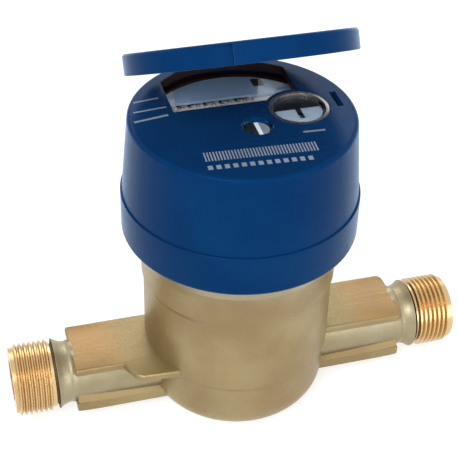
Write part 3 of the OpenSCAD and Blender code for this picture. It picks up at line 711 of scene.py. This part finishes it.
# %% Make the housing
FACE_Z = 119 * MM
SIDE_R = 40.5 * MM
SEAM_R, SEAM_Z, SEAM_DROP = 40.2 * MM, 90.7 * MM, 0.38 * MM
WINDOW_LOW, WINDOW_LEDGE, WINDOW_HIGH = 111 * MM, 115.5 * MM, 118.5 * MM
WINDOW_R, BELOW_LEDGE_R = 34.5 * MM, 37.5 * MM
WINDOW_FRONT, WINDOW_SIDE = 6 * MM, 30 * MM


def in_window(face):
    middle = face.calc_center_median()
    wall = middle.z > WINDOW_LOW and (abs(face.normal.z) < 0.5 or middle.z < WINDOW_HIGH)
    inside = from_axis(middle) < (WINDOW_R if middle.z > WINDOW_LEDGE else BELOW_LEDGE_R)
    return wall and inside and middle.y > WINDOW_FRONT and abs(middle.x) < WINDOW_SIDE


def outward(bm, wanted):
    return [e for e in sharp(bm, 50) if e.is_convex and all(wanted(v.co) for v in e.verts)]


bm = merged_copy("housing")
face_edges = outward(bm, lambda point: point.z > FACE_Z - CLOSE)
side_edges = outward(bm, lambda point: from_axis(point) > SIDE_R)
soften(bm, face_edges, width=0.35, segments=2)
soften(bm, [e for e in side_edges if e.is_valid], width=0.12, segments=1)
for vert in bm.verts:
    if from_axis(vert.co) > SEAM_R and vert.co.z < SEAM_Z:
        vert.co.z -= SEAM_DROP
# painted shade: the window's wall takes the dark copper finish, for the shaded can seen there
for face in bm.faces:
    face.material_index = 1 if in_window(face) else 0
housing = make_piece(bm, "housing_moulding", "meter", [blue_plastic, copper])
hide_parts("housing")

# %% [markdown]
# ## The lower ring
# The ring sits round the flange of the casting and hides the joint under the housing. It only needs a fine
# round on its outer edges, so its inner edges stay as they are and cost no faces.

# %% Make the lower ring
RING_SIDE_R = 41.3 * MM
bm = merged_copy("skirt")
soften(bm, outward(bm, lambda point: from_axis(point) > RING_SIDE_R), width=0.15, segments=1)
ring = make_piece(bm, "lower_ring_moulding", "meter", [blue_plastic])
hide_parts("skirt")

# %% [markdown]
# ## The lid
# A thumb lifts the lid at a recess in its rim, which is deep on the right and runs out to nothing on the
# left. The lid stands open, so the copy is first turned shut about the hinge: there the rim is a plain
# circle, and a point's depth follows from its bearing. Then it is turned back, so it stays in its place.

# %% Make the lid
LID_R, RECESS_R = 38.4 * MM, 37.2 * MM
LID_UNDERSIDE = 126 * MM
LID_FRONT = -15 * MM
TAPER = 1.5
LID_OPEN = radians(30)
HINGE = Vector((0, 33.6 * MM, 123 * MM))


def turn_lid(bm, angle):
    bmesh.ops.rotate(bm, verts=bm.verts, cent=HINGE, matrix=Matrix.Rotation(angle, 3, "X"))


def in_recess(point):
    return abs(from_axis(point) - RECESS_R) < 0.03 * MM and point.y < 0 and point.z < LID_UNDERSIDE


bm = merged_copy("lid")
turn_lid(bm, LID_OPEN)
bearings = {v: atan2(v.co.y, v.co.x) for v in bm.verts if in_recess(v.co)}
first, last = min(bearings.values()), max(bearings.values())
for vert, bearing in bearings.items():
    radius = LID_R - (LID_R - RECESS_R) * ((bearing - first) / (last - first)) ** TAPER
    vert.co.xy = (radius * cos(bearing), radius * sin(bearing))
bmesh.ops.remove_doubles(bm, verts=bm.verts, dist=0.05 * MM)
rim = [e for e in bm.edges if all(v.co.y < LID_FRONT for v in e.verts)]
bmesh.ops.dissolve_degenerate(bm, dist=0.06 * MM, edges=rim)
turn_lid(bm, -LID_OPEN)
soften(bm, [e for e in sharp(bm, 50) if e.is_convex], width=0.3, segments=2)
lid = make_piece(bm, "lid_moulding", "lid", [blue_plastic])
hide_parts("lid")
print("recess points:", len(bearings))

# %% [markdown]
# ## Printed marks
# Print is far thinner than any solid, so each mark is a flat patch just above the surface. A grid of one
# face is placed, turned and scaled by a matrix for every mark. Each mark is a row of five numbers: its place
# along X and Y, its width and depth in millimetres, and its turn in degrees. The marks are plain ticks,
# dashes and bars.

# %% Print the face
PRINT_ABOVE = 0.03


def printed(name, marks, height, material):
    bm = bmesh.new()
    for x, y, width, depth, turn in marks:
        place = Matrix.Translation((x * MM, y * MM, height * MM)) @ Matrix.Rotation(radians(turn), 4, "Z")
        size = Matrix.Diagonal((width * MM, depth * MM, 1, 1))
        bmesh.ops.create_grid(bm, x_segments=1, y_segments=1, size=0.5, matrix=place @ size)
    make_piece(bm, name, "meter", [material])


def slope(first, last):
    return degrees(atan2(last[1] - first[1], last[0] - first[0]))


def row_of(first, last, count, width, depth):
    across, down = last[0] - first[0], last[1] - first[1]
    return [(first[0] + across * k / (count - 1), first[1] + down * k / (count - 1), width, depth,
             slope(first, last)) for k in range(count)]


def bar(first, last, depth):
    middle = ((first[0] + last[0]) / 2, (first[1] + last[1]) / 2)
    return (*middle, hypot(last[0] - first[0], last[1] - first[1]), depth, slope(first, last))


ticks = row_of((-18.8, -22.1), (17.4, -24.2), 37, 0.5, 5.0)
dashes = row_of((-18.6, -28.1), (13.6, -30.2), 13, 1.6, 2.2)
bars = [bar((-33.9, 14.7), (-25.1, 15.8), 0.8), bar((-35.2, 8.6), (-23.8, 9.7), 0.8),
        bar((-36.2, 2.8), (-24.3, 4.7), 1.0), bar((15.9, -15.5), (23.4, -15.9), 0.9)]
printed("face_marks", ticks + dashes + bars, FACE_Z / MM + PRINT_ABOVE, white_print)

# %% [markdown]
# ## The dial
# The dial is a thin grey sheet with a slot for the drums, a white strip in front of them and a black square.
# The drums show only as a narrow strip, so the rear edge of the slot is drawn forward on a copy of the sheet.
# That is quicker than a new sheet, and its holes stay where the works need them.

# %% Dress the dial
DIAL_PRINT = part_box("dial_plate")[1].z / MM + PRINT_ABOVE
OLD_REAR = (20 * MM, 21 * MM)
SLOT_ENDS = (-19 * MM, 9 * MM)
SLOT_REAR = 19.3 * MM
panel = [(0, 14.6, 42, 1.4, 0), (14.6, 15.9, 11.8, 1.2, 0), (-19.8, 15.9, 2.4, 1.2, 0)]
printed("dial_panel", panel, DIAL_PRINT, white_plastic)
bm = merged_copy("dial_plate")
for vert in bm.verts:
    if OLD_REAR[0] < vert.co.y < OLD_REAR[1] and SLOT_ENDS[0] < vert.co.x < SLOT_ENDS[1]:
        vert.co.y = SLOT_REAR
dial = make_piece(bm, "dial_sheet", "meter", [dial_grey])
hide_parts("dial_plate")
printed("dial_square", [(13, 26.5, 4, 5, 0)], DIAL_PRINT, black_print)

# %% [markdown]
# ## Figures on the drums
# Each drum carries the figures 0 to 9. A figure starts as text and becomes a flat mesh. A flat face can't
# follow a drum, so the mesh is cut into narrow strips with bisect_plane.

# %% Draw the flat figures
FIGURE_SIZE = 3.3 * MM
STRIP = 0.28 * MM
CUTS = 9


def flat_figure(number):
    curve = bpy.data.curves.new("figure", "FONT")
    curve.body = str(number)
    curve.size = FIGURE_SIZE
    curve.align_x = "CENTER"
    holder = bpy.data.objects.new("figure", curve)
    mesh = bpy.data.meshes.new_from_object(holder)
    bpy.data.objects.remove(holder)
    bm = bmesh.new()
    bm.from_mesh(mesh)
    for k in range(CUTS):
        cut(bm, (0, k * STRIP, 0), (0, 1, 0))
    middle = sum(v.co.y for v in bm.verts) / len(bm.verts)
    bmesh.ops.translate(bm, verts=bm.verts, vec=(0, -middle, 0))
    bm.to_mesh(mesh)
    bm.free()
    return mesh


figures = [flat_figure(number) for number in range(10)]
print("figures:", len(figures))

# %% [markdown]
# ## Wrapping the figures
# A figure's height becomes an angle round the drum, and its width stays along the shaft. A Simple Deform
# modifier could bend it too, but ten figures on five drums are quicker by sine and cosine. All the drums
# read 0 at rest, and the next figure comes up from the front as the drum turns.

# %% Wrap them round the drums
FIGURE_R = 5.03 * MM
FIRST_DRUM_X = 6.275 * MM
DRUM_PITCH = 5.6 * MM
shaft = middle_of("drum_shaft")


def wrap_figures(drum):
    bm = bmesh.new()
    for number, mesh in enumerate(figures):
        before = len(bm.verts)
        bm.from_mesh(mesh)
        bm.verts.ensure_lookup_table()
        for vert in bm.verts[before:]:
            angle = vert.co.y / FIGURE_R - number * 2 * pi / 10
            along_shaft = vert.co.x + FIRST_DRUM_X - DRUM_PITCH * drum
            vert.co = (along_shaft, shaft.y + FIGURE_R * sin(angle), shaft.z + FIGURE_R * cos(angle))
    body = "drum_%d" % (drum + 1)
    make_piece(bm, body + "_figures", body, [black_print])


for drum in range(5):
    wrap_figures(drum)

# %% [markdown]
# ## Floor
# The photograph has a white background and hardly a shadow. The floor adds a little plain light of its own
# to what falls on it, so it is white where the lamps reach it and pale grey in the shadow. A Light Path node
# keeps that glow to the rays that see the floor, so it doesn't light the meter from below.

# %% Lay the floor
FLOOR_GREY, FLOOR_GLOW = 0.5, 0.7


def seen_rays(tree):
    rays = tree.nodes.new("ShaderNodeLightPath")
    seen = work_out(tree, "MAXIMUM", rays.outputs["Is Camera Ray"], rays.outputs["Is Transmission Ray"])
    return work_out(tree, "MAXIMUM", seen, rays.outputs["Is Glossy Ray"])


def make_floor():
    bm = bmesh.new()
    bmesh.ops.create_grid(bm, x_segments=8, y_segments=8, size=4)
    mesh = bpy.data.meshes.new("floor")
    bm.to_mesh(mesh)
    bm.free()
    floor = bpy.data.objects.new("floor", mesh)
    scene.collection.objects.link(floor)
    material = bpy.data.materials.new("white_floor")
    material.use_nodes = True
    tree = material.node_tree
    tree.nodes.remove(tree.nodes["Principled BSDF"])
    matt = tree.nodes.new("ShaderNodeBsdfDiffuse")
    matt.inputs["Color"].default_value = (FLOOR_GREY, FLOOR_GREY, FLOOR_GREY, 1)
    glow = tree.nodes.new("ShaderNodeEmission")
    tree.links.new(work_out(tree, "MULTIPLY", seen_rays(tree), FLOOR_GLOW), glow.inputs["Strength"])
    total = tree.nodes.new("ShaderNodeAddShader")
    tree.links.new(matt.outputs["BSDF"], total.inputs[0])
    tree.links.new(glow.outputs["Emission"], total.inputs[1])
    tree.links.new(total.outputs["Shader"], tree.nodes["Material Output"].inputs["Surface"])
    mesh.materials.append(material)
    return floor


floor = make_floor()
print("floor faces:", len(floor.data.polygons))

# %% [markdown]
# ## Lamps
# A large soft lamp stands in front on the left, a weaker one on the right, and a third behind lifts the top
# edges. They are discs, because a disc gives soft shadows and round reflections on the brass.

# %% Set the lamps
AIM = (0, 0, 0.08)


def soft_lamp(name, place, aim, size, power):
    data = bpy.data.lights.new(name, "AREA")
    data.shape = "DISK"
    data.size = size
    data.energy = power
    lamp = bpy.data.objects.new(name, data)
    lamp.location = place
    lamp.rotation_euler = (Vector(aim) - Vector(place)).to_track_quat("-Z", "Y").to_euler()
    scene.collection.objects.link(lamp)


soft_lamp("key_lamp", (-0.55, -0.75, 1.0), AIM, 0.7, 9)
soft_lamp("fill_lamp", (0.55, -1.1, 0.4), AIM, 0.8, 4)
soft_lamp("back_lamp", (0.2, 1.1, 0.95), AIM, 0.9, 4.5)
print("lamps:", len(bpy.data.lights))

# %% [markdown]
# ## World
# The world fills the shadows. It is brighter where the camera or a reflection sees it than where it lights
# the meter, so the background is white and the sides of the body still have some shade.

# %% Light the world
WORLD_FILL, WORLD_SEEN = 0.55, 1.0
world = bpy.data.worlds.new("studio")
world.use_nodes = True
scene.world = world
sky = world.node_tree
sky.nodes["Background"].inputs["Color"].default_value = (1, 1, 1, 1)
extra = work_out(sky, "MULTIPLY", seen_rays(sky), WORLD_SEEN - WORLD_FILL)
strength = work_out(sky, "ADD", extra, WORLD_FILL)
sky.links.new(strength, sky.nodes["Background"].inputs["Strength"])
print("world strength:", WORLD_FILL, "and", WORLD_SEEN, "where it is seen")
